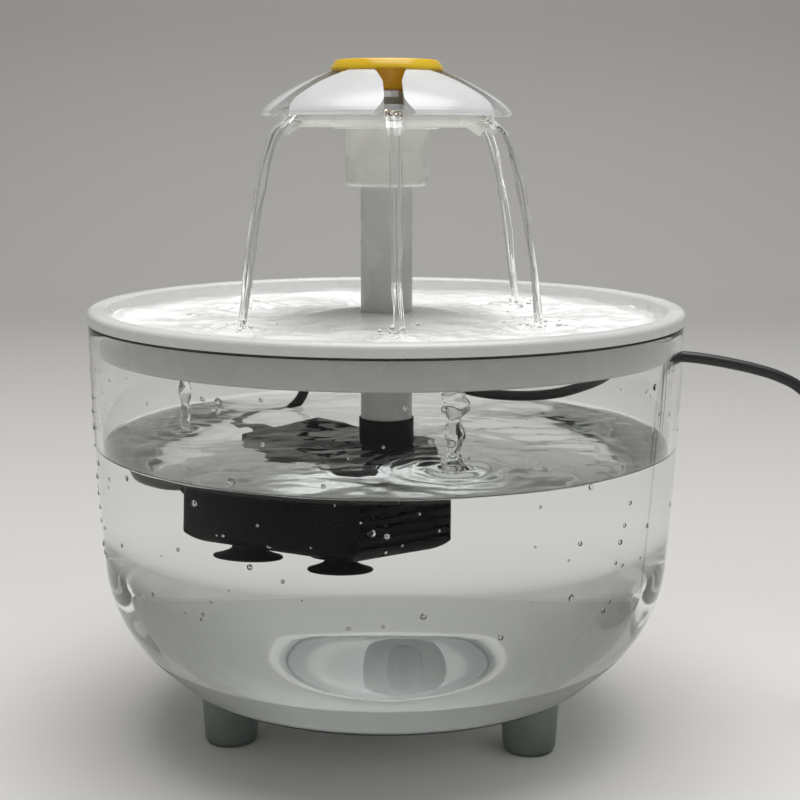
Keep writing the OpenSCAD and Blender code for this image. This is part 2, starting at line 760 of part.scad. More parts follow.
module shaft_bush_front() color("#222222") in_pump() along_y(bush_y + slide_fit) shaft_bush();
module shaft_bush_rear() color("#222222") in_pump() along_y(well_end_y) shaft_bush();

// The U-shaped stack: two poles beside the rotor's well, joined by the yoke that carries the coil.
module stator_core() color("silver") in_pump() difference() {
    core_x = rotor_x - core_w / 2;
    translate([core_x, core_y, rotor_z - stack_h / 2])
        cube([core_w, yoke_y + yoke_t - core_y, stack_h]);
    translate([core_x + pole_w, housing_y, 0])
        cube([core_w - 2 * pole_w, yoke_y - housing_y, pump_h]);
    along_y(housing_y) cylinder(r = well_out_r + drop_fit, h = yoke_y - housing_y);
}

module stator_coil() color("#b5651d") in_pump() {
    window = [yoke_t + 2 * coil_gap, stack_h + 2 * coil_gap];
    translate([rotor_x - coil_l / 2, yoke_y - coil_lap - coil_gap,
               rotor_z - window[1] / 2 - coil_lap])
        rotate([90, 0, 90]) linear_extrude(coil_l) difference() {
            round_rect(window[0] + 2 * coil_lap, window[1] + 2 * coil_lap, coil_round);
            translate([coil_lap, coil_lap]) square(window);
        }
}

module driver_board() color("darkgreen") in_pump()
    translate([board_inset, housing_y + board_inset, cavity_floor + slide_fit]) {
        cube([pump_w - 2 * board_inset, board_l, board_t]);
        translate([board_l / 4, board_l / 3, board_t - eps])
            cube([board_l / 3, board_l / 4, chip_h]);
        translate([board_l, board_l / 4, board_t - eps])
            cube([board_l / 5, board_l / 8, chip_h]);
    }

// ---- suction cups ----
module suction_cup(xy) color("#202224") in_pump()
    translate(concat(xy, [0])) difference() {
        cup_r = cup_d / 2;
        neck_r = cup_neck_d / 2;
        union() {
            rotate_extrude() polygon(concat(
                [[0, -cup_h], [cup_r - cup_lip, -cup_h], [cup_r, -cup_h + 1.5 * cup_lip],
                 [cup_r - cup_lip, -cup_h + 3.5 * cup_lip]],
                bezier([cup_r - 4 * cup_lip, -cup_h + 4.5 * cup_lip],
                    [neck_r + 7 * cup_lip, 8.5 * cup_lip - cup_h],
                    [neck_r, 11 * cup_lip - cup_h], [neck_r, -1.5 * cup_lip], 6),
                [[neck_r - 1.5 * cup_lip, 0], [0, 0]]));
            translate([0, 0, -0.5]) cylinder(r = cup_stem_r, h = cup_stem_h + 0.5);
        }
        translate([0, 0, -cup_h - eps])
            cylinder(r1 = cup_r - 5 * cup_lip, r2 = cup_stem_r / 2, h = cup_dish_h);
    }

module suction_cup_front() suction_cup(cup_front_xy);
module suction_cup_rear() suction_cup(cup_rear_xy);
module suction_cup_side() suction_cup(cup_side_xy);

// ---- lead, cord and plug ----
module pump_gland() color("#1a1a1c") in_pump() along_y(pump_l) {
    lead_r = cord_d / 2;
    translate([0, 0, -shell_wall]) cylinder(r = gland_neck_r, h = shell_wall + 1);
    cylinder(r = lead_r + 2.4, h = gland_flange_t);
    cylinder(r1 = lead_r + 1.4, r2 = lead_r + 0.6, h = gland_l);
    for (i = [1 : 3]) translate([0, 0, gland_rib_t + i * gland_rib_pitch])
        cylinder(r = lead_r + 1.6 - 0.15 * i, h = gland_rib_t);
}

module lead_rise() color("#161618") swept_cord(rise_route);
module lead_run() color("#161618") swept_cord(run_route);
module power_cord() color("#161618") swept_cord(cord_route);
module cord_tail() color("#161618") swept_cord(tail_route);

// The band round the coil's turns, or, grown by a gap, the seat that it presses into them.
module tie_band(grow = 0) {
    coil_w = coil_out_r - coil_in_r;
    seat = tie_t + 2 * grow;
    translate([coil_mid[0], coil_mid[1], 0]) rotate([0, 0, tie_angle])
        translate([coil_in_r - tie_t - grow, -tie_w / 2 - grow, -grow]) difference() {
            cube([coil_w + 2 * seat - 2 * grow, tie_w + 2 * grow, coil_h + seat]);
            translate([seat, -1, tie_seat + 2 * grow])
                cube([coil_w - 2 * grow, tie_w + 4, coil_h - tie_seat - 2 * grow]);
        }
}

module cord_coil() color("#161618") difference() {
    translate([coil_mid[0], coil_mid[1], 0]) rotate_extrude() translate([coil_in_r, 0])
        round_rect(coil_out_r - coil_in_r, coil_h, cord_d / 2);
    tie_band(slide_fit);
}

module cord_tie() color("#303236") tie_band();

// Draws in the plug's own frame: X across it, Y up, Z out of the cord's end.
module in_plug() {
    translate([plug_x, plug_y, plug_z]) rotate([90, 0, 0]) children();
}

module plug_grip() color("#1a1a1c") in_plug() {
    cylinder(r1 = cord_d / 2 + 0.5, r2 = plug_z - 0.8, h = grip_neck_l + eps);
    translate([-grip_w / 2, -plug_z, grip_neck_l]) linear_extrude(grip_l - grip_neck_l)
        round_rect(grip_w, 2 * plug_z, grip_round);
}

module plug_shell() color("silver") in_plug()
    translate([-shell_size[0] / 2, -shell_size[1] / 2, grip_l]) difference() {
        cube([shell_size[0], shell_size[1], plug_shell_l]);
        translate([shell_t, shell_t, shell_t])
            cube([shell_size[0] - 2 * shell_t, shell_size[1] - 2 * shell_t, plug_shell_l]);
    }

module plug_tongue() color("white") in_plug()
    translate([-tongue_size[0] / 2, shell_t + slide_fit - shell_size[1] / 2, grip_l + shell_t])
        cube([tongue_size[0], tongue_size[1], plug_shell_l - 2 * shell_t]);

tank();
leg_front_left();
leg_front_right();
leg_rear();
tray();
riser_tube();
flower_collar();
spout_saucer();
petal_cap();
flower_heart();
pump_housing();
pump_head();
pump_rear_cover();
intake_cover();
impeller();
rotor_magnet();
rotor_shaft();
shaft_bush_front();
shaft_bush_rear();
stator_core();
stator_coil();
driver_board();
suction_cup_front();
suction_cup_rear();
suction_cup_side();
pump_gland();
lead_rise();
lead_run();
power_cord();
cord_coil();
cord_tail();
cord_tie();
plug_grip();
plug_shell();
plug_tongue();
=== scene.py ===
import math
import random

import bmesh
import bpy
from mathutils import Matrix, Vector, noise


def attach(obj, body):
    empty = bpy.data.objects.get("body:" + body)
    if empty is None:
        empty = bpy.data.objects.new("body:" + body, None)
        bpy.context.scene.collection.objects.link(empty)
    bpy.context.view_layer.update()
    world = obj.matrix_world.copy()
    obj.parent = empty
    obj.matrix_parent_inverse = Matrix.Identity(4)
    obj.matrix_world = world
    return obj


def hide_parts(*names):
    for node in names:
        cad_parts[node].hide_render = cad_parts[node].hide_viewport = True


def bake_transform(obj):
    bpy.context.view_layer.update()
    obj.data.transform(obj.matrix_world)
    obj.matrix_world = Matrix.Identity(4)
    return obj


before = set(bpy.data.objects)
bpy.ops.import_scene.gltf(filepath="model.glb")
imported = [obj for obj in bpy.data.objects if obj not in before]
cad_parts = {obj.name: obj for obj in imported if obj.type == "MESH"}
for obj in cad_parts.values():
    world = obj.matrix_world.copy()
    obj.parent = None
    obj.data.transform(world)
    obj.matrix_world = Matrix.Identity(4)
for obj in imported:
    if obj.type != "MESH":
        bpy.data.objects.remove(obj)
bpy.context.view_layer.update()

# ---------------------------------------------------------------------------
# The camera stands a little above the tray's height, close in front, and looks
# down a little, as someone who fills the fountain does.
# ---------------------------------------------------------------------------
MM = 0.001

camera_place = (3.85, -419.0, 167.0)
camera_pitch = math.radians(10.03)
camera_roll = 0.003
camera_lens = 67.5
sensor_width = 36.0
nearest_seen = 0.01
farthest_seen = 20.0

camera_data = bpy.data.cameras.new("camera")
camera_data.lens = camera_lens
camera_data.sensor_width = sensor_width
camera_data.clip_start = nearest_seen
camera_data.clip_end = farthest_seen
camera = bpy.data.objects.new("camera", camera_data)
scene = bpy.context.scene
scene.collection.objects.link(camera)
look = Matrix.Rotation(math.pi / 2 - camera_pitch, 4, "X") @ Matrix.Rotation(camera_roll, 4, "Z")
camera.matrix_world = Matrix.Translation(Vector(camera_place) * MM) @ look
bpy.context.scene.camera = camera

# Light has to pass many skins of wall and water, so it may bounce often.
scene.view_settings.view_transform = "Standard"
scene.cycles.max_bounces = 28
scene.cycles.transmission_bounces = 24
scene.cycles.transparent_max_bounces = 24
scene.cycles.diffuse_bounces = 5


# ---------------------------------------------------------------------------
# The free cord: black, round, 3.2 mm, a 1.5 m pump lead in a soft jacket. Its last
# 1.2 m hangs from the tank's rim to the table and lies there in a two-layer coil.
# ---------------------------------------------------------------------------
def finish(name, shader_values, build):
    """A new material: values set straight on the shader, then build adds its pattern."""
    material = bpy.data.materials.new(name)
    material.use_nodes = True
    nodes = material.node_tree.nodes
    shader = nodes["Principled BSDF"]
    for socket, value in shader_values.items():
        shader.inputs[socket].default_value = value
    build(nodes, material.node_tree.links, shader)
    return material


def spots(nodes, links, scale, detail=3.0, stretch=(1, 1, 1)):
    """A noise fixed to the piece; returns its grey output."""
    place = nodes.new("ShaderNodeTexCoord")
    size = nodes.new("ShaderNodeMapping")
    size.inputs["Scale"].default_value = stretch
    links.new(place.outputs["Object"], size.inputs["Vector"])
    pattern = nodes.new("ShaderNodeTexNoise")
    pattern.inputs["Scale"].default_value = scale
    pattern.inputs["Detail"].default_value = detail
    links.new(size.outputs["Vector"], pattern.inputs["Vector"])
    return pattern.outputs["Fac"]


# Most of a noise's value lies between these two.
noise_low = 0.3
noise_high = 0.7


def between(nodes, links, value, low, high, from_low=noise_low, from_high=noise_high):
    """The value mapped to lie between low and high."""
    span = nodes.new("ShaderNodeMapRange")
    span.inputs["From Min"].default_value = from_low
    span.inputs["From Max"].default_value = from_high
    span.inputs["To Min"].default_value = low
    span.inputs["To Max"].default_value = high
    links.new(value, span.inputs["Value"])
    return span.outputs["Result"]


def tint(nodes, links, value, first, second):
    """A colour between first and second by the noise's value."""
    ramp = nodes.new("ShaderNodeValToRGB")
    ramp.color_ramp.elements[0].position = noise_low
    ramp.color_ramp.elements[0].color = (*first, 1)
    ramp.color_ramp.elements[1].position = noise_high
    ramp.color_ramp.elements[1].color = (*second, 1)
    links.new(value, ramp.inputs["Fac"])
    return ramp.outputs["Color"]


def grain(nodes, links, shader, value, depth):
    """Raises the noise as a bump of that depth in metres."""
    bump = nodes.new("ShaderNodeBump")
    bump.inputs["Distance"].default_value = depth
    links.new(value, bump.inputs["Height"])
    links.new(bump.outputs["Normal"], shader.inputs["Normal"])


def solid_finish(name, dark, light, rough, mottle=90.0, skin=1600.0, skin_depth=0.00001, **values):
    """A moulded or drawn surface: a slightly mottled colour, patchy gloss and a fine skin."""
    def build(nodes, links, shader):
        cloud = spots(nodes, links, mottle)
        links.new(tint(nodes, links, cloud, dark, light), shader.inputs["Base Color"])
        links.new(between(nodes, links, cloud, rough[0], rough[1]), shader.inputs["Roughness"])
        grain(nodes, links, shader, spots(nodes, links, skin, 2.0), skin_depth)
    return finish(name, {key.replace("_", " "): value for key, value in values.items()}, build)


def dress(material, *nodes):
    """Gives CAD nodes their finish."""
    for name in nodes:
        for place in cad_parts[name].material_slots:
            place.material = material


cord_jacket = solid_finish("cord_jacket", (0.010, 0.010, 0.011), (0.020, 0.020, 0.021), (0.34, 0.46),
                           skin=2200.0, skin_depth=0.000012)

cord_d = 3.2
cord_drop = [
    (82, 0, 105.7), (86, 0, 105.4), (92, 0, 104.6), (98.5, 0, 103.4), (105, 0, 101.9), (111.2, 0, 99.9),
    (116.8, 0, 97), (121.2, 0, 92.4), (124.1, 0, 86.4), (125.5, 0, 79.6), (126.2, 0, 72.5), (126.5, 0, 64),
    (126.6, 0, 55), (126.7, 0, 46), (126.8, 0, 36.5), (127, 0, 27), (127.8, 0, 17.5), (130.8, 0, 9),
    (136.5, 0, 3.6), (144, 0, 1.72),
]

# The coil winds in on the table, climbs by one cord's thickness and winds out again on top.
coil_mid = (148.5, -24.7)
coil_outer_r = 24.7
coil_turns = 9.25
turns_down = coil_turns / 2
climb_turns = 0.5
points_a_turn = 16
table_gap = 0.12
coil_start = math.radians(90)
coil = []
for step in range(int(coil_turns * points_a_turn) + 1):
    turn = step / points_a_turn
    if turn <= turns_down:
        r = coil_outer_r - cord_d * turn
    else:
        r = coil_outer_r - cord_d * (coil_turns - turn)
    climb = min(max((turn - turns_down) / climb_turns + 0.5, 0), 1)
    z = cord_d / 2 + table_gap + cord_d * climb * climb * (3 - 2 * climb)
    angle = coil_start - 2 * math.pi * turn
    coil.append((coil_mid[0] + r * math.cos(angle), coil_mid[1] + r * math.sin(angle), z))
cord_tail = [(173.2, -31, 4.7), (173.2, -36, 4.6), (173.2, -41.5, 4.2), (173.2, -44.5, 3.8)]
cord_tail.append((173.2, -47, 3.8))
cord_points = cord_drop + coil + cord_tail

cord_curve = bpy.data.curves.new("pump_cord", "CURVE")
cord_curve.dimensions = "3D"
cord_curve.resolution_u = 4
cord_curve.bevel_depth = cord_d / 2 * MM
cord_curve.bevel_resolution = 4
cord_curve.use_fill_caps = True
cord_line = cord_curve.splines.new("BEZIER")
cord_line.bezier_points.add(len(cord_points) - 1)
for knot, point in zip(cord_line.bezier_points, cord_points):
    knot.co = Vector(point) * MM
    knot.handle_left_type = "AUTO"
    knot.handle_right_type = "AUTO"
pump_cord = bpy.data.objects.new("pump_cord", cord_curve)
scene.collection.objects.link(pump_cord)
cord_curve.materials.append(cord_jacket)
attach(pump_cord, "root")
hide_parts("power_cord", "cord_coil", "cord_tail")

# The cord's tie: a band of woven tape round the coil.
tie_fabric = solid_finish("tie_fabric", (0.016, 0.017, 0.020), (0.035, 0.036, 0.040), (0.7, 0.9),
                          skin=3200.0, skin_depth=0.00006)
dress(tie_fabric, "cord_tie")

# The plug: a rubber grip moulded on the cord's end and a bare tinned shell. Its white tongue is
# finished with the tray, which is made of the same plastic.
plug_metal = solid_finish("plug_metal", (0.58, 0.58, 0.57), (0.72, 0.72, 0.71), (0.18, 0.32),
                          skin=900.0, skin_depth=0.000004, Metallic=1.0)
dress(cord_jacket, "plug_grip")
dress(plug_metal, "plug_shell")


# ---------------------------------------------------------------------------
# The tank: one clear plastic moulding with a round lower corner, finely etched,
# a rounded rim and a slot in the rim for the lead. Three bosses under its floor
# carry the legs.
# ---------------------------------------------------------------------------
def make_piece(name, rings, material, wrap=True, capped=True, corner=40.0):
    """A skin over rings of points in millimetres, each ring joined to the next."""
    mesh = bmesh.new()
    grid = [[mesh.verts.new(Vector(point) * MM) for point in ring] for ring in rings]
    count = len(grid[0])
    last = count if wrap else count - 1
    for lower, upper in zip(grid, grid[1:]):
        for i in range(last):
            j = (i + 1) % count
            mesh.faces.new((lower[i], lower[j], upper[j], upper[i]))
    if capped and wrap:
        mesh.faces.new(list(reversed(grid[0])))
        mesh.faces.new(grid[-1])
    bmesh.ops.remove_doubles(mesh, verts=mesh.verts, dist=1e-7)
    bmesh.ops.dissolve_degenerate(mesh, edges=mesh.edges, dist=1e-8)
    bmesh.ops.recalc_face_normals(mesh, faces=mesh.faces)
    return link_piece(name, mesh, material, corner)


def link_piece(name, mesh, material, corner=40.0):
    """Puts a finished bmesh into the scene as a piece with smooth faces and sharp corners."""
    data = bpy.data.meshes.new(name)
    mesh.to_mesh(data)
    mesh.free()
    data.shade_smooth()
    data.set_sharp_from_angle(angle=math.radians(corner))
    data.materials.append(material)
    piece = bpy.data.objects.new(name, data)
    scene.collection.objects.link(piece)
    return piece


def turned(profile, steps):
    """Rings of points from a profile of (radius, height), one ring for each point of it."""
    turns = [2 * math.pi * k / steps for k in range(steps)]
    return [[(r * math.cos(a), r * math.sin(a), z) for a in turns] for r, z in profile]


def arc(middle, radius, first, last, steps):
    """Points on an arc, its angles in degrees."""
    angles = [math.radians(first + (last - first) * k / steps) for k in range(steps + 1)]
    return [(middle[0] + radius * math.cos(a), middle[1] + radius * math.sin(a)) for a in angles]


def let_light_by(material, through):
    """Lets lamps shine through a clear material, tinted, so that what stands in it is lit."""
    nodes = material.node_tree.nodes
    links = material.node_tree.links
    path = nodes.new("ShaderNodeLightPath")
    clear = nodes.new("ShaderNodeBsdfTransparent")
    clear.inputs["Color"].default_value = (*through, 1)
    mix = nodes.new("ShaderNodeMixShader")
    links.new(path.outputs["Is Shadow Ray"], mix.inputs[0])
    links.new(nodes["Principled BSDF"].outputs["BSDF"], mix.inputs[1])
    links.new(clear.outputs["BSDF"], mix.inputs[2])
    links.new(mix.outputs["Shader"], nodes["Material Output"].inputs["Surface"])


# Heights in metres for the wall's patterns: the flat floor's edge, the top of the etched corner
# and the start of the rim's top edge, where the painted seam shadow begins, each with the height over which
# one turns into the other.
foot_z = 0.0166
foot_blend = 0.002
etched_z = 0.0278
etched_blend = 0.0006
seam_shade_z = 0.11625
seam_shade_blend = 0.0001
foot_rough = 0.16
etched_rough = 0.3
# The etched corner's grey tint is painted shade: it darkens what is seen through the lower corner, standing
# in for the shaded floor under the tank.
etched_shade_colour = (0.66, 0.68, 0.665)
wet_etched_rough = 0.09
wet_polished_rough = 0.006
# Painted shade as well: a grey tint on the inner skin in the lower corner.
wet_etched_shade_colour = (0.80, 0.825, 0.81)
clear_low = (0.972, 0.982, 0.978)
clear_high = (0.985, 0.992, 0.989)
# Painted shadow: the rim's top edge is painted near black, standing in for the shade in the seam under the
# tray.
seam_shade_colour = (0.012, 0.012, 0.012)
wall_cloud = 35.0
wall_wave = 22.0
wall_wave_stretch = (1, 1, 1.6)
wall_wave_depth = 0.00025


def height_of(nodes, links):
    """The height of each place on a piece, in metres."""
    place = nodes.new("ShaderNodeTexCoord")
    split = nodes.new("ShaderNodeSeparateXYZ")
    links.new(place.outputs["Object"], split.inputs["Vector"])
    return split.outputs["Z"]


def reckon(nodes, links, operation, first, second):
    """The sum, the least or the like of two values."""
    sum_node = nodes.new("ShaderNodeMath")
    sum_node.operation = operation
    links.new(first, sum_node.inputs[0])
    links.new(second, sum_node.inputs[1])
    return sum_node.outputs["Value"]


def blend_colours(nodes, links, share, under, over):
    """The colour under, replaced by the plain colour over as far as share says."""
    mix = nodes.new("ShaderNodeMix")
    mix.data_type = "RGBA"
    mix.inputs["B"].default_value = (*over, 1)
    links.new(under, mix.inputs["A"])
    links.new(share, mix.inputs["Factor"])
    return mix.outputs["Result"]


def clear_pattern(nodes, links, shader):
    """Polished, but finely etched at the lower corner, whose grey tint is painted shade, and painted near
    black at the rim's very edge as the shadow in the seam under the tray."""
    cloud = spots(nodes, links, wall_cloud, 2.0)
    height = height_of(nodes, links)
    above = between(nodes, links, height, etched_rough, 0.0, etched_z, etched_z + etched_blend)
    under = between(nodes, links, height, foot_rough, etched_rough, foot_z, foot_z + foot_blend)
    etched = reckon(nodes, links, "MINIMUM", above, under)
    rough = reckon(nodes, links, "ADD", between(nodes, links, cloud, 0.004, 0.02), etched)
    # Painted shade: below the etched corner's top the colour turns to its grey shade colour.
    share = between(nodes, links, above, 0.0, 1.0, 0.0, etched_rough)
    shaded_corner_tint = blend_colours(nodes, links, share, tint(nodes, links, cloud, clear_low, clear_high), etched_shade_colour)
    # Painted shadow: near black from the rim's top edge up, for the seam under the tray.
    share = between(nodes, links, height, 0.0, 1.0, seam_shade_z, seam_shade_z + seam_shade_blend)
    links.new(blend_colours(nodes, links, share, shaded_corner_tint, seam_shade_colour), shader.inputs["Base Color"])
    links.new(rough, shader.inputs["Roughness"])
    wave = spots(nodes, links, wall_wave, 0.0, wall_wave_stretch)
    grain(nodes, links, shader, wave, wall_wave_depth)


def wet_pattern(nodes, links, shader):
    """The inner skin below the water, polished above the lower corner, and in it a little rough and tinted
    grey as painted shade.
    """
    cloud = spots(nodes, links, wall_cloud, 2.0)
    height = height_of(nodes, links)
    top_z = etched_z + etched_blend
    ground = between(nodes, links, height, wet_etched_rough, wet_polished_rough, etched_z, top_z)
    share = between(nodes, links, height, 0.0, 1.0, etched_z, top_z)
    # Painted shade: the lower corner's inner skin is tinted grey.
    links.new(tint(nodes, links, share, wet_etched_shade_colour, clear_high), shader.inputs["Base Color"])
    rough = reckon(nodes, links, "ADD", between(nodes, links, cloud, 0.0, 0.012), ground)
    links.new(rough, shader.inputs["Roughness"])


water_z = 82.8


def wet_side(piece, material, outward):
    """Gives that material, which hardly reflects, to the skin where water and wall meet."""
    piece.data.materials.append(material)
    for face in piece.data.polygons:
        middle = face.center
        r = max(math.hypot(middle.x, middle.y), 1e-6)
        way = face.normal.x * middle.x / r + face.normal.y * middle.y / r - face.normal.z
        if middle.z < water_z * MM and (way > 0) == outward:
            face.material_index = len(piece.data.materials) - 1


wall_shine = (0.16, 0.16, 0.16, 1)
wet_shine = (0.03, 0.03, 0.03, 1)
wall_light = (0.84, 0.85, 0.845)
clear_values = {"IOR": 1.49, "Transmission Weight": 1.0}
clear_wall = finish("clear_wall", {**clear_values, "Specular Tint": wall_shine}, clear_pattern)
wet_wall = finish("wet_wall", {**clear_values, "Specular Tint": wet_shine}, wet_pattern)
for wall_finish in (clear_wall, wet_wall):
    let_light_by(wall_finish, wall_light)

# The wall's section: a flat floor, a small round edge, the big round corner and a wall that leans
# in a little towards its foot.
tank_r = 82.2
tank_wall = 2.2
tank_rim_z = 117.0
tank_floor_z = 16.6
tank_corner_r = 39.0
tank_taper = 2.7
rim_round = 0.7
edge_r = 4.0
corner_mid = (tank_r - tank_taper - tank_corner_r, 52.0)
corner_end = -47.0
wall_lean = math.degrees(math.atan(math.pi / 2 * tank_taper / (tank_rim_z - corner_mid[1])))
wall_foot = arc(corner_mid, tank_corner_r, -wall_lean, -wall_lean, 1)[0]
corner_slope = math.radians(corner_end)
edge_step = tank_corner_r - edge_r + math.sin(corner_slope) * (corner_mid[1] - tank_floor_z - edge_r)
edge_mid = (corner_mid[0] + edge_step / math.cos(corner_slope), tank_floor_z + edge_r)


def wall_r(z):
    """Outer radius of the tank's wall at a height above its round corner."""
    share = (z - wall_foot[1]) / (tank_rim_z - rim_round - wall_foot[1])
    return wall_foot[0] + (tank_r - wall_foot[0]) * math.sin(math.pi / 2 * share)


def tank_line(inset, top, steps=30):
    """The tank's section from the axis up its wall to a height, at a depth under its skin."""
    line = [(edge_mid[0] * k / 5, tank_floor_z + inset) for k in range(5)]
    line += arc(edge_mid, edge_r - inset, -90, corner_end, 9)
    line += arc(corner_mid, tank_corner_r - inset, corner_end, -wall_lean, 24)
    foot = line[-1][1]
    for k in range(1, steps + 1):
        z = foot + (top - foot) * k / steps
        line.append((wall_r(z) - inset, z))
    return line


def tank_section(top):
    """The whole closed section of the tank's wall where its top is at a height."""
    outer = tank_line(0, top - rim_round)
    inner = tank_line(tank_wall, top - rim_round)
    mid_r = wall_r(top - rim_round)
    rim = arc((mid_r - rim_round, top - rim_round), rim_round, 15, 90, 5)
    rim += arc((mid_r - tank_wall + rim_round, top - rim_round), rim_round, 90, 165, 5)
    return outer + rim + list(reversed(inner))


# The slot for the lead has a round foot, and its sides drop straight from the rim.
slot_w = 5.0
slot_depth = 13.0
slot_side = 1e-4
wall_mid_r = tank_r - tank_wall / 2
slot_half = math.asin(slot_w / 2 / wall_mid_r)
tank_angles = [slot_half * k / 8 for k in range(-8, 9)]
tank_angles = [-slot_half - slot_side] + tank_angles + [slot_half + slot_side]
around_steps = 250
around = 2 * math.pi - 2 * slot_half - 2 * slot_side
for k in range(1, around_steps):
    tank_angles.append(slot_half + slot_side + around * k / around_steps)
columns = []
for angle in tank_angles:
    in_slot = abs(angle) <= slot_half + slot_side / 100
    across = math.sin(angle) * wall_mid_r
    dip = math.sqrt(max(slot_w * slot_w / 4 - across * across, 0)) if in_slot else 0
    top = tank_rim_z - slot_depth + slot_w / 2 - dip if in_slot else tank_rim_z
    section = tank_section(top)
    columns.append([(r * math.cos(angle), r * math.sin(angle), z) for r, z in section])
clear_tank = make_piece("clear_tank", [list(ring) for ring in zip(*columns)], clear_wall, capped=False)
wet_side(clear_tank, wet_wall, False)
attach(clear_tank, "root")
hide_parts("tank")

# The bosses run half a millimetre into the floor.
leg_angles = (206, 326, 86)
leg_circle_r = 48.0
boss_r = 3.5
boss_foot_z = 11.7
boss_round = 0.4
boss_top_z = tank_floor_z + 0.5
boss_line = [(0, boss_foot_z)]
boss_line += arc((boss_r - boss_round, boss_foot_z + boss_round), boss_round, -90, 0, 4)
boss_line += [(boss_r, boss_top_z), (0, boss_top_z)]
for number, leg_angle in enumerate(leg_angles):
    turn = math.radians(leg_angle)
    leg_x = leg_circle_r * math.cos(turn)
    leg_y = leg_circle_r * math.sin(turn)
    rings = [[(x + leg_x, y + leg_y, z) for x, y, z in ring] for ring in turned(boss_line, 32)]
    boss = make_piece("tank_boss_%d" % number, rings, clear_wall, capped=False)
    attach(boss, "root")

# ---------------------------------------------------------------------------
# The legs: three grey-green feet, moulded in plastic with a satin skin. Each is
# pressed from below over one of the tank's bosses.
# ---------------------------------------------------------------------------
leg_plastic = solid_finish("leg_plastic", (0.15, 0.185, 0.165), (0.20, 0.24, 0.22), (0.38, 0.5),
                           skin=1800.0, skin_depth=0.00002)
dress(leg_plastic, "leg_front_left", "leg_front_right", "leg_rear")

# ---------------------------------------------------------------------------
# The pump: black moulded shells with a satin skin. The intake cover's slots
# face forward, the head holds the impeller, the housing the potted motor.
# ---------------------------------------------------------------------------
pump_plastic = solid_finish("pump_plastic", (0.0025, 0.003, 0.004), (0.005, 0.0055, 0.007), (0.4, 0.52),
                            skin=700.0, skin_depth=0.000004, IOR=1.15)
dress(pump_plastic, "pump_housing", "pump_head", "pump_rear_cover", "intake_cover")

impeller_plastic = solid_finish("impeller_plastic", (0.10, 0.10, 0.105), (0.14, 0.14, 0.145), (0.3, 0.42))
dress(impeller_plastic, "impeller")
magnet_finish = solid_finish("magnet", (0.035, 0.032, 0.030), (0.055, 0.050, 0.046), (0.45, 0.6),
                             Metallic=0.6)
dress(magnet_finish, "rotor_magnet")
ceramic = solid_finish("ceramic", (0.80, 0.79, 0.76), (0.86, 0.85, 0.82), (0.12, 0.2))
dress(ceramic, "rotor_shaft")
core_steel = solid_finish("core_steel", (0.30, 0.30, 0.30), (0.42, 0.42, 0.41), (0.35, 0.5), Metallic=1.0)
dress(core_steel, "stator_core")
copper_wire = solid_finish("copper_wire", (0.42, 0.14, 0.05), (0.58, 0.22, 0.08), (0.3, 0.42),
                           Metallic=0.9)
dress(copper_wire, "stator_coil")
board_green = solid_finish("board", (0.02, 0.10, 0.045), (0.03, 0.14, 0.06), (0.35, 0.5))
dress(board_green, "driver_board")

# The suction cups and the gland: soft black rubber, plugged into the shells.
black_rubber = solid_finish("black_rubber", (0.003, 0.0035, 0.003), (0.006, 0.0065, 0.006), (0.42, 0.56),
                            skin=700.0, skin_depth=0.000004, IOR=1.15)
dress(black_rubber, "suction_cup_front", "suction_cup_rear", "suction_cup_side",
      "pump_gland", "shaft_bush_front", "shaft_bush_rear")


# ---------------------------------------------------------------------------
# The lead inside the tank, the same black cord: it leaves the pump's gland, rises
# behind the tube and runs along the wall, hanging slack, to the slot in the rim.
# ---------------------------------------------------------------------------
def smooth_route(points, steps):
    """A smooth line through the points, with that many steps between each two."""
    line = []
    for k in range(len(points) - 1):
        before = Vector(points[max(k - 1, 0)])
        first = Vector(points[k])
        second = Vector(points[k + 1])
        after = Vector(points[min(k + 2, len(points) - 1)])
        for j in range(steps):
            t = j / steps
            line.append(0.5 * (2 * first + (second - before) * t
                               + (2 * before - 5 * first + 4 * second - after) * t * t
                               + (3 * first - before - 3 * second + after) * t ** 3))
    line.append(Vector(points[-1]))
    return line


def swept(line, radius, sides=16):
    """Rings round a line; radius is a number, or a function of how far along the line one is."""
    rings = []
    across = Vector((0, 0, 1))
    for k, point in enumerate(line):
        way = (line[min(k + 1, len(line) - 1)] - line[max(k - 1, 0)]).normalized()
        across = (across - across.dot(way) * way).normalized()
        other = way.cross(across)
        r = radius(k / (len(line) - 1)) if callable(radius) else radius
        rings.append([point + r * (math.cos(a) * across + math.sin(a) * other)
                      for a in [2 * math.pi * i / sides for i in range(sides)]])
    return rings


pump_turn = math.radians(49)
pump_outlet = (23.0, 11.15)
pump_foot_z = 56.0


def in_pump(x, y, z):
    """A place in the pump's own frame, taken to the fountain's."""
    x -= pump_outlet[0]
    y -= pump_outlet[1]
    turned_x = x * math.cos(pump_turn) - y * math.sin(pump_turn)
    turned_y = x * math.sin(pump_turn) + y * math.cos(pump_turn)
    return (turned_x, turned_y, z + pump_foot_z)


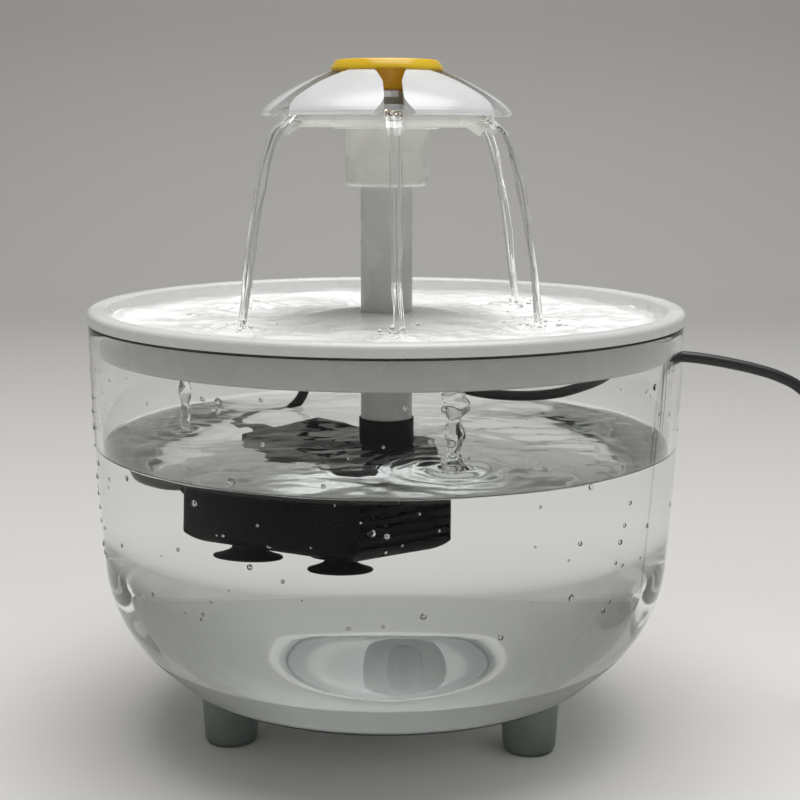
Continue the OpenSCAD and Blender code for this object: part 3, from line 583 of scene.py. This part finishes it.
lead_rise_route = [
    in_pump(16.5, 58.5, 12.5), in_pump(16.5, 63.5, 12.5), (-46.2, 34.2, 69.4), (-45, 39.5, 71.7),
    (-40.8, 43.6, 75), (-34.5, 46.3, 79), (-28, 48, 84.5), (-25, 49, 91.5), (-19.5, 50.7, 98),
    (-11.5, 52.6, 100), (-4, 54, 98.5),
]
lead_run_route = [
    (-4, 54, 98.5), (3.5, 55.4, 97), (11.5, 56.5, 92.5), (20, 57, 88.2), (29, 56.5, 85.7),
    (38.5, 54.5, 85), (47, 50.5, 85.7), (54.5, 45, 87.6), (60.5, 38.5, 90.6), (65, 31, 94),
    (67.5, 23, 97.8), (69, 15, 101.2), (71.5, 8, 104), (75, 2.5, 105.5), (79, 0, 105.8), (82, 0, 105.7),
]
lead_steps = 4
lead_rings = swept(smooth_route(lead_rise_route, lead_steps), cord_d / 2)
lead_rise = make_piece("lead_in_water", lead_rings, cord_jacket)
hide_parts("lead_rise")
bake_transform(lead_rise)
lead_rings = swept(smooth_route(lead_run_route, lead_steps), cord_d / 2)
lead_run = make_piece("lead_to_slot", lead_rings, cord_jacket)
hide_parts("lead_run")
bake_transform(lead_run)

# ---------------------------------------------------------------------------
# The riser tube: drawn white plastic, a little translucent, pushed over the
# pump's nozzle and through the tray's sleeve.
# ---------------------------------------------------------------------------
tube_plastic = solid_finish("tube_plastic", (0.60, 0.60, 0.585), (0.66, 0.66, 0.645), (0.22, 0.32),
                            mottle=60.0)
dress(tube_plastic, "riser_tube")

# ---------------------------------------------------------------------------
# The tray: a white moulding that is the tank's lid and the drinking bowl, with
# a gutter round a low dome and three drain slots.
# ---------------------------------------------------------------------------
white_plastic = solid_finish("white_plastic", (0.74, 0.745, 0.735), (0.79, 0.795, 0.785), (0.2, 0.32),
                             mottle=45.0)
dress(white_plastic, "tray", "plug_tongue")

# ---------------------------------------------------------------------------
# The flower, all moulded plastic: a milky collar pushed on the tube, a milky
# saucer, a glossy white cap of six petals and a yellow heart that drops into it.
# ---------------------------------------------------------------------------
milky_plastic = solid_finish("milky_plastic", (0.74, 0.74, 0.70), (0.80, 0.80, 0.765), (0.22, 0.34))
dress(milky_plastic, "flower_collar", "spout_saucer")
petal_plastic = solid_finish("petal_plastic", (0.76, 0.765, 0.77), (0.82, 0.825, 0.83), (0.14, 0.24))
dress(petal_plastic, "petal_cap")
yellow_plastic = solid_finish("yellow_plastic", (0.90, 0.58, 0.016), (0.95, 0.64, 0.026), (0.16, 0.28),
                              Subsurface_Weight=0.35, Subsurface_Scale=0.003)

# The heart is a shallow dish: its stem flares up into a flange that leans in to a thin lip.
crown_z = 184.0
heart_line = [(0, crown_z - 5), (11.2, crown_z - 5), (11.6, crown_z - 4.7)]
heart_line += [(13.1, crown_z - 0.6), (13.6, crown_z)]
heart_line += arc((15.0, crown_z + 0.5), 0.5, -90, 20, 5)
heart_line += [(15.1, crown_z + 1.4), (14.6, crown_z + 2.2)]
heart_line += arc((13.65, crown_z + 2.35), 0.65, 30, 160, 7)
heart_line += [(12.4, crown_z + 1.2), (11.7, crown_z - 1.4), (10.6, crown_z - 3.2)]
heart_line += [(9.0, crown_z - 3.6), (0, crown_z - 2.8)]
dish_heart = make_piece("dish_heart", turned(heart_line, 96), yellow_plastic, capped=False)
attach(dish_heart, "heart")
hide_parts("flower_heart")


# ---------------------------------------------------------------------------
# The water in the tank: it stands over the pump's body, its face broken by
# the drips from the tray's drains.
# ---------------------------------------------------------------------------
def water_pattern(nodes, links, shader):
    """Clear water, with a trace of cloud in its colour and gloss."""
    cloud = spots(nodes, links, 60.0, 2.0)
    colour = tint(nodes, links, cloud, (0.988, 0.994, 0.992), (0.996, 0.999, 0.998))
    links.new(colour, shader.inputs["Base Color"])
    links.new(between(nodes, links, cloud, 0.0, 0.008), shader.inputs["Roughness"])


water_light = (0.88, 0.89, 0.885)
water_values = {"IOR": 1.333, "Transmission Weight": 1.0}
water = finish("water", water_values, water_pattern)
water_at_wall = finish("water_at_wall", {**water_values, "Specular Tint": wet_shine}, water_pattern)
for wet_finish in (water, water_at_wall):
    let_light_by(wet_finish, water_light)

# The water laps a little into the wall. A drip is given by where it falls and how thick it is.
skin_lap = 0.06
drip_places = ((17.5, -45.0, 1.9), (-58.0, 6.0, 1.3))
drip_ring_h = 0.55
drip_ring_length = 5.6
drip_ring_reach = 9.0
tank_wave = 0.75
edge_climb = 0.9
calm_w = 6


def waves(x, y, size, seed):
    """Height of a broken water face, from long and short waves."""
    long = noise.noise(Vector((x / 21, y / 15, seed)))
    short = noise.noise(Vector((x / 8, y / 6, seed + 7)))
    fine = noise.noise(Vector((x / 3.4, y / 2.8, seed + 13)))
    return size * (long + 0.45 * short + 0.16 * fine)


def rings_from(x, y, places, height, length, reach):
    """Height of the rings that spread from falling drops."""
    total = 0
    for px, py, force in places:
        d = math.hypot(x - px, y - py)
        if d < 4 * reach:
            total += force * height * math.exp(-d / reach) * math.cos(2 * math.pi * d / length)
    return total


def tank_water_z(x, y, edge):
    """Height of the water's face: calm at the wall, where it climbs a little."""
    r = math.hypot(x, y)
    calm = min(1, (edge - r) / calm_w)
    climb = edge_climb * math.exp((r - edge) / edge_climb)
    rings = rings_from(x, y, drip_places, drip_ring_h, drip_ring_length, drip_ring_reach)
    return water_z + calm * (waves(x, y, tank_wave, 1.5) + rings) + climb


water_edge = wall_r(water_z) - tank_wall + skin_lap
water_steps = 300
face_radii = [water_edge * (k / 96) for k in range(1, 96)]
face_radii += [water_edge - 0.5, water_edge - 0.22, water_edge]
body_line = tank_line(tank_wall - skin_lap, water_z + edge_climb, 24)
water_rings = turned(body_line[:-1], water_steps)
for r in reversed(face_radii):
    ring = []
    for k in range(water_steps):
        a = 2 * math.pi * k / water_steps
        x = r * math.cos(a)
        y = r * math.sin(a)
        ring.append((x, y, tank_water_z(x, y, water_edge)))
    water_rings.append(ring)
water_rings.append([(0, 0, tank_water_z(0, 0, water_edge))] * water_steps)
tank_water = make_piece("tank_water", water_rings, water, capped=False, corner=60.0)
wet_side(tank_water, water_at_wall, True)
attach(tank_water, "root")

# ---------------------------------------------------------------------------
# The water in the tray: a pool in the gutter and a thin film over the dome,
# with rings where the six streams land. It drains through the three slots.
# ---------------------------------------------------------------------------
gutter_z = 110.3
dome_h = 8.0
dome_foot_r = 65.5
hub_r = 9.35
pool_z = 116.6
film_depth = 0.15
tray_wave = 1.25
landing_ring_h = 1.0
landing_ring_length = 4.6
landing_ring_reach = 6.5
stream_angles = [34 + 60 * k for k in range(6)]
landing_r = 46.0
landing_turns = [math.radians(angle) for angle in stream_angles]
landings = [(landing_r * math.cos(turn), landing_r * math.sin(turn), 1.0) for turn in landing_turns]


def dome_z(r):
    """Height of the tray's floor under the water."""
    t = min(max((r - hub_r) / (dome_foot_r - hub_r), 0), 1)
    return gutter_z + dome_h * (1 - t * t * (3 - 2 * t))


def tray_water_z(x, y):
    """Height of the water's face: a pool, or a thin film where the dome stands above it."""
    film = dome_z(math.hypot(x, y)) + film_depth
    over = pool_z - film
    level = max(film, pool_z) + 0.25 * math.exp(-abs(over) / 0.5)
    calm = min(max((over + 1.4) / 2.4, 0.12), 1)
    rings = rings_from(x, y, landings, landing_ring_h, landing_ring_length, landing_ring_reach)
    return level + calm * (waves(x, y, tray_wave, 31.0) + rings)


tray_steps = 360
basin_edge_r = 77.03 + skin_lap
basin_round_mid = (74.0, 112.3)
basin_round = 2
hub_lap = 0.03
radius_steps = 130
water_w = basin_edge_r - hub_r + hub_lap
tray_radii = [hub_r - hub_lap + water_w * k / radius_steps for k in range(radius_steps + 1)]
floor_line = [(r, dome_z(r) - skin_lap) for r in tray_radii if r < 73.8]
floor_line += arc(basin_round_mid, basin_round + skin_lap, -85, -10, 5)
floor_line.append((basin_edge_r - 0.45, pool_z - 2))
film_rings = turned(list(reversed(floor_line)), tray_steps)
for r in tray_radii:
    ring = []
    for k in range(tray_steps):
        a = 2 * math.pi * k / tray_steps
        x = r * math.cos(a)
        y = r * math.sin(a)
        ring.append((x, y, tray_water_z(x, y)))
    film_rings.append(ring)
film_rings.append(film_rings[0])
tray_water = make_piece("tray_water", film_rings, water, capped=False, corner=60.0)
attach(tray_water, "lid")


# ---------------------------------------------------------------------------
# The six streams: flat sheets of water that leave the saucer's lips, pull
# together as they fall and run into the tray's pool.
# ---------------------------------------------------------------------------
stream_lip = [(25.5, 172.9), (28.2, 172.4), (30.4, 171.4), (31.9, 169.9)]
stream_foot_z = 115.2
stream_throw = 14.2
stream_half_w = 2.3
stream_thick = 0.6
stream_steps = 30
stream_sides = 24

# Water that falls into water spreads from this share of its way on.
foot_from = 0.93


def stream_rings(angle, seed):
    """Rings along one stream, from over the lip down a thrown arc; it narrows, sways and twists."""
    turn = math.radians(angle)
    out = Vector((math.cos(turn), math.sin(turn), 0))
    side = Vector((-math.sin(turn), math.cos(turn), 0))
    leave_r, leave_z = stream_lip[-1]
    fall = leave_z - stream_foot_z
    path = [Vector(point) for point in stream_lip]
    for k in range(1, stream_steps + 1):
        share = k / stream_steps
        path.append(Vector((leave_r + stream_throw * math.sqrt(share), leave_z - fall * share)))
    rings = []
    for k, (r, z) in enumerate(path):
        before = path[max(k - 1, 0)]
        after = path[min(k + 1, len(path) - 1)]
        way = (after - before).normalized()
        normal = out * way.y - Vector((0, 0, 1)) * way.x
        s = k / (len(path) - 1)
        sway = 0.9 * s * noise.noise(Vector((s * 5, seed, 3.3)))
        swell = 1 + 0.22 * noise.noise(Vector((s * 9, seed, 8.1)))
        foot_spread = 0.9 * max(s - foot_from, 0) * 14
        half = (stream_half_w - 0.9 * min(s * 2.2, 1) + foot_spread) * swell
        thick = stream_thick + 0.1 * s + 0.2 * noise.noise(Vector((s * 14, seed, 1.9)))
        twist = 0.5 * noise.noise(Vector((s * 4, seed, 5.7)))
        centre = out * r + Vector((0, 0, z)) + side * sway
        ring = []
        for i in range(stream_sides):
            a = 2 * math.pi * i / stream_sides
            u = half * math.cos(a)
            v = thick * math.sin(a) * (0.22 + 2.1 * math.cos(a) ** 2)
            u, v = u * math.cos(twist) - v * math.sin(twist), u * math.sin(twist) + v * math.cos(twist)
            ring.append(centre + side * u + normal * v)
        rings.append(ring)
    return rings


for number, angle in enumerate(stream_angles):
    stream = make_piece("stream_%d" % number, stream_rings(angle, number * 3.7), water)
    turn = math.radians(angle)
    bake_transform(stream)

# The drips from the tray's drains to the water below: beaded, widest at the drain and uneven.
drip_top_z = 109.0
drip_fall = 26.0
drip_steps = 40
drip_sides = 20
for number, (x, y, force) in enumerate(drip_places):
    line = []
    for k in range(drip_steps + 1):
        z = drip_top_z - drip_fall * k / drip_steps
        line.append(Vector((x + 0.5 * noise.noise(Vector((z / 6, number, 2.2))), y, z)))

    def drip_r(s, force=force, number=number):
        """The drip's radius at a share of its fall."""
        beads = 0.22 * math.sin(2 * math.pi * (s * 3.4 + 0.3 * number)) * min(1, s * 3)
        return force * (0.8 + 1.0 * (1 - s) ** 6 + beads + 0.9 * max(s - foot_from, 0) * 14)

    rings = []
    for k, ring in enumerate(swept(line, drip_r, drip_sides)):
        s = k / (len(line) - 1)
        wide = 1.0 + 0.9 * (1 - s)
        drip_ring = []
        for i, point in enumerate(ring):
            bump = 0.32 * force * noise.noise(Vector((i * 0.7, s * 9, number + 4.4)))
            drip_x = line[k].x + (point.x - line[k].x) * wide * (1 + bump)
            drip_ring.append(Vector((drip_x, point.y, point.z)))
        rings.append(drip_ring)
    drip = make_piece("drip_%d" % number, rings, water)
    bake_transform(drip)


# ---------------------------------------------------------------------------
# Loose water and air: drops that cling to the tank's wall, air bubbles on the
# pump and under the water's face, and the splash where the streams land.
# ---------------------------------------------------------------------------
def bead(mesh, place, size, flat=1.0, facing=(0, 0, 1)):
    """Adds one small drop or bubble, flattened along the way that it faces."""
    turn = Vector(facing).to_track_quat("Z", "Y").to_matrix().to_4x4()
    stretch = Matrix.Diagonal((size * MM, size * MM, size * flat * MM, 1))
    shape = Matrix.Translation(Vector(place) * MM) @ turn @ stretch
    bmesh.ops.create_icosphere(mesh, subdivisions=2, radius=1.0, matrix=shape)


def on_wall(angle, z, proud):
    """A place on the wall's outer skin, or on its inner skin where proud is negative."""
    turn = math.radians(angle)
    r = wall_r(z) + proud if proud > 0 else wall_r(z) - tank_wall + proud
    return (r * math.cos(turn), r * math.sin(turn), z)


chance = random.Random(7)
outer_drop_count = 46
left_drop_count = 30
outer_drops = bmesh.new()
for number in range(outer_drop_count):
    near_left = number < left_drop_count
    angle = chance.gauss(192, 6) if near_left else chance.uniform(170, 370)
    z = chance.uniform(52, 112)
    size = chance.uniform(0.35, 1.05)
    turn = math.radians(angle)
    bead(outer_drops, on_wall(angle, z, 0.04), size, 0.45, (math.cos(turn), math.sin(turn), 0))
drops_outside = link_piece("drops_outside", outer_drops, water)
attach(drops_outside, "root")

inner_drop_count = 70
inner_drops = bmesh.new()
for number in range(inner_drop_count):
    angle = chance.uniform(0, 360)
    z = chance.uniform(86, 107)
    size = chance.uniform(0.3, 0.9)
    turn = math.radians(angle)
    bead(inner_drops, on_wall(angle, z, -0.04), size, 0.5, (math.cos(turn), math.sin(turn), 0))
drops_inside = link_piece("drops_inside", inner_drops, water)
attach(drops_inside, "root")

air = finish("air_bubble", {"IOR": 0.752, "Transmission Weight": 1.0}, water_pattern)
let_light_by(air, (0.98, 0.99, 0.985))

bubble_count = 40
bubble_gap = 0.1
bubbles = bmesh.new()
for number in range(bubble_count):
    angle = chance.uniform(195, 345)
    z = chance.uniform(46, 80)
    size = chance.uniform(0.25, 0.85)
    turn = math.radians(angle)
    r = wall_r(z) - tank_wall - size - bubble_gap
    bead(bubbles, (r * math.cos(turn), r * math.sin(turn), z), size)
air_bubbles = link_piece("air_bubbles", bubbles, air)
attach(air_bubbles, "root")

# The pump's bubbles: on its front by place across, height and size, and on its side by place along.
front_bubbles = ((4.0, 9.0, 1.15), (9.5, 3.0, 0.5), (20.0, 12.0, 0.6), (26.5, 6.5, 0.55), (15.0, 4.0, 0.4))
side_bubbles = ((3.0, 20.5, 0.9), (5.0, 16.0, 0.4), (12.0, 4.0, 0.45), (24.0, 2.5, 0.5), (38.0, 3.5, 0.4))
pump_gap = 0.02
pump_air = bmesh.new()
for across, up, size in front_bubbles:
    bead(pump_air, in_pump(across, -size - pump_gap, up), size)
for along, up, size in side_bubbles:
    bead(pump_air, in_pump(-size - pump_gap, along, up), size)
pump_bubbles = link_piece("pump_bubbles", pump_air, air)
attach(pump_bubbles, "pump")

splash_drop_count = 16
splash = bmesh.new()
for x, y, _ in landings:
    for number in range(splash_drop_count):
        turn = chance.uniform(0, 2 * math.pi)
        reach = chance.gauss(4.5, 2.4)
        px = x + reach * math.cos(turn)
        py = y + reach * math.sin(turn)
        size = chance.uniform(0.25, 0.8)
        hop = abs(chance.gauss(0, 1.2))
        bead(splash, (px, py, tray_water_z(px, py) + 0.3 * size + hop), size, chance.uniform(0.6, 1))
tray_splash = link_piece("tray_splash", splash, water)
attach(tray_splash, "lid")

# ---------------------------------------------------------------------------
# The studio: a card whose floor sweeps up into a wall, its greys painted light and shade,
# a broad soft lamp high over the fountain, a weak one for the wall, and an even sky.
# ---------------------------------------------------------------------------
# How far along the card, in metres of floor and wall, the greys start and end, and the greys.
card_start = -0.2
card_end = 2.0
# The greys are painted light and shade: palest on the floor in front of and under the fountain, darker on the
# floor behind it towards the wall's foot, and lighter again up the wall.
sweep_shade_greys = [(0.0, 0.78), (0.07, 0.76), (0.14, 0.66), (0.3, 0.50), (0.44, 0.43), (0.6, 0.37), (0.9, 0.68)]


def sweep_pattern(nodes, links, shader):
    """Card whose grey changes along its length, over the floor and up the wall: painted light and shade."""
    place = nodes.new("ShaderNodeTexCoord")
    split = nodes.new("ShaderNodeSeparateXYZ")
    links.new(place.outputs["Object"], split.inputs["Vector"])
    along = reckon(nodes, links, "ADD", split.outputs["Y"], split.outputs["Z"])
    ramp = nodes.new("ShaderNodeValToRGB")
    ramp.color_ramp.interpolation = "B_SPLINE"
    for number, (share, pale) in enumerate(sweep_shade_greys):
        stop = ramp.color_ramp.elements[number] if number < 2 else ramp.color_ramp.elements.new(share)
        stop.position = share
        stop.color = (pale, 0.982 * pale, 0.945 * pale, 1)
    links.new(between(nodes, links, along, 0, 1, card_start, card_end), ramp.inputs["Fac"])
    links.new(ramp.outputs["Color"], shader.inputs["Base Color"])
    grain(nodes, links, shader, spots(nodes, links, 900.0), 0.00002)


sweep_card = finish("sweep_card", {"Roughness": 0.9}, sweep_pattern)
floor_end_y = 1000
card_bend_r = 300
wall_y = floor_end_y + card_bend_r
sweep_line = [(-1300, 0), (-600, 0), (0, 0), (500, 0), (floor_end_y, 0)]
for step in range(6, 91, 6):
    turn = math.radians(step)
    rise = card_bend_r - card_bend_r * math.cos(turn)
    sweep_line.append((floor_end_y + card_bend_r * math.sin(turn), rise))
sweep_line += [(wall_y, 900), (wall_y, 1800)]
sweep_rings = [[(x, y, z) for x in (-2200, -700, 700, 2200)] for y, z in sweep_line]
sweep = make_piece("sweep", sweep_rings, sweep_card, wrap=False)


def lamp(name, place, aim, size, power, spread):
    """A soft square lamp that looks at a point."""
    data = bpy.data.lights.new(name, "AREA")
    data.shape = "SQUARE"
    data.size = size
    data.energy = power
    data.spread = math.radians(spread)
    light = bpy.data.objects.new(name, data)
    scene.collection.objects.link(light)
    way = Vector(aim) - Vector(place)
    light.matrix_world = Matrix.Translation(Vector(place)) @ way.to_track_quat("-Z", "Y").to_matrix().to_4x4()


lamp("key_lamp", (0.15, 0.02, 2.1), (0, 0.0, 0.1), 2.0, 16.0, 95)
lamp("wall_lamp", (0.0, 0.55, 1.7), (0, 1.15, 0.3), 1.2, 2.6, 110)

# The sky lights the object weakly and is seen, also in gloss and through clear pieces, brighter.
sky_as_light = 0.15
sky_as_seen = 0.32
world = bpy.data.worlds.new("sky")
world.use_nodes = True
sky_nodes = world.node_tree.nodes
sky_links = world.node_tree.links
sky_nodes["Background"].inputs["Color"].default_value = (1.0, 0.985, 0.96, 1)
path = sky_nodes.new("ShaderNodeLightPath")
seen = path.outputs["Is Camera Ray"]
for ray_kind in ("Is Glossy Ray", "Is Transmission Ray"):
    seen = reckon(sky_nodes, sky_links, "MAXIMUM", seen, path.outputs[ray_kind])
sky_strength = between(sky_nodes, sky_links, seen, sky_as_light, sky_as_seen, 0, 1)
sky_links.new(sky_strength, sky_nodes["Background"].inputs["Strength"])
scene.world = world
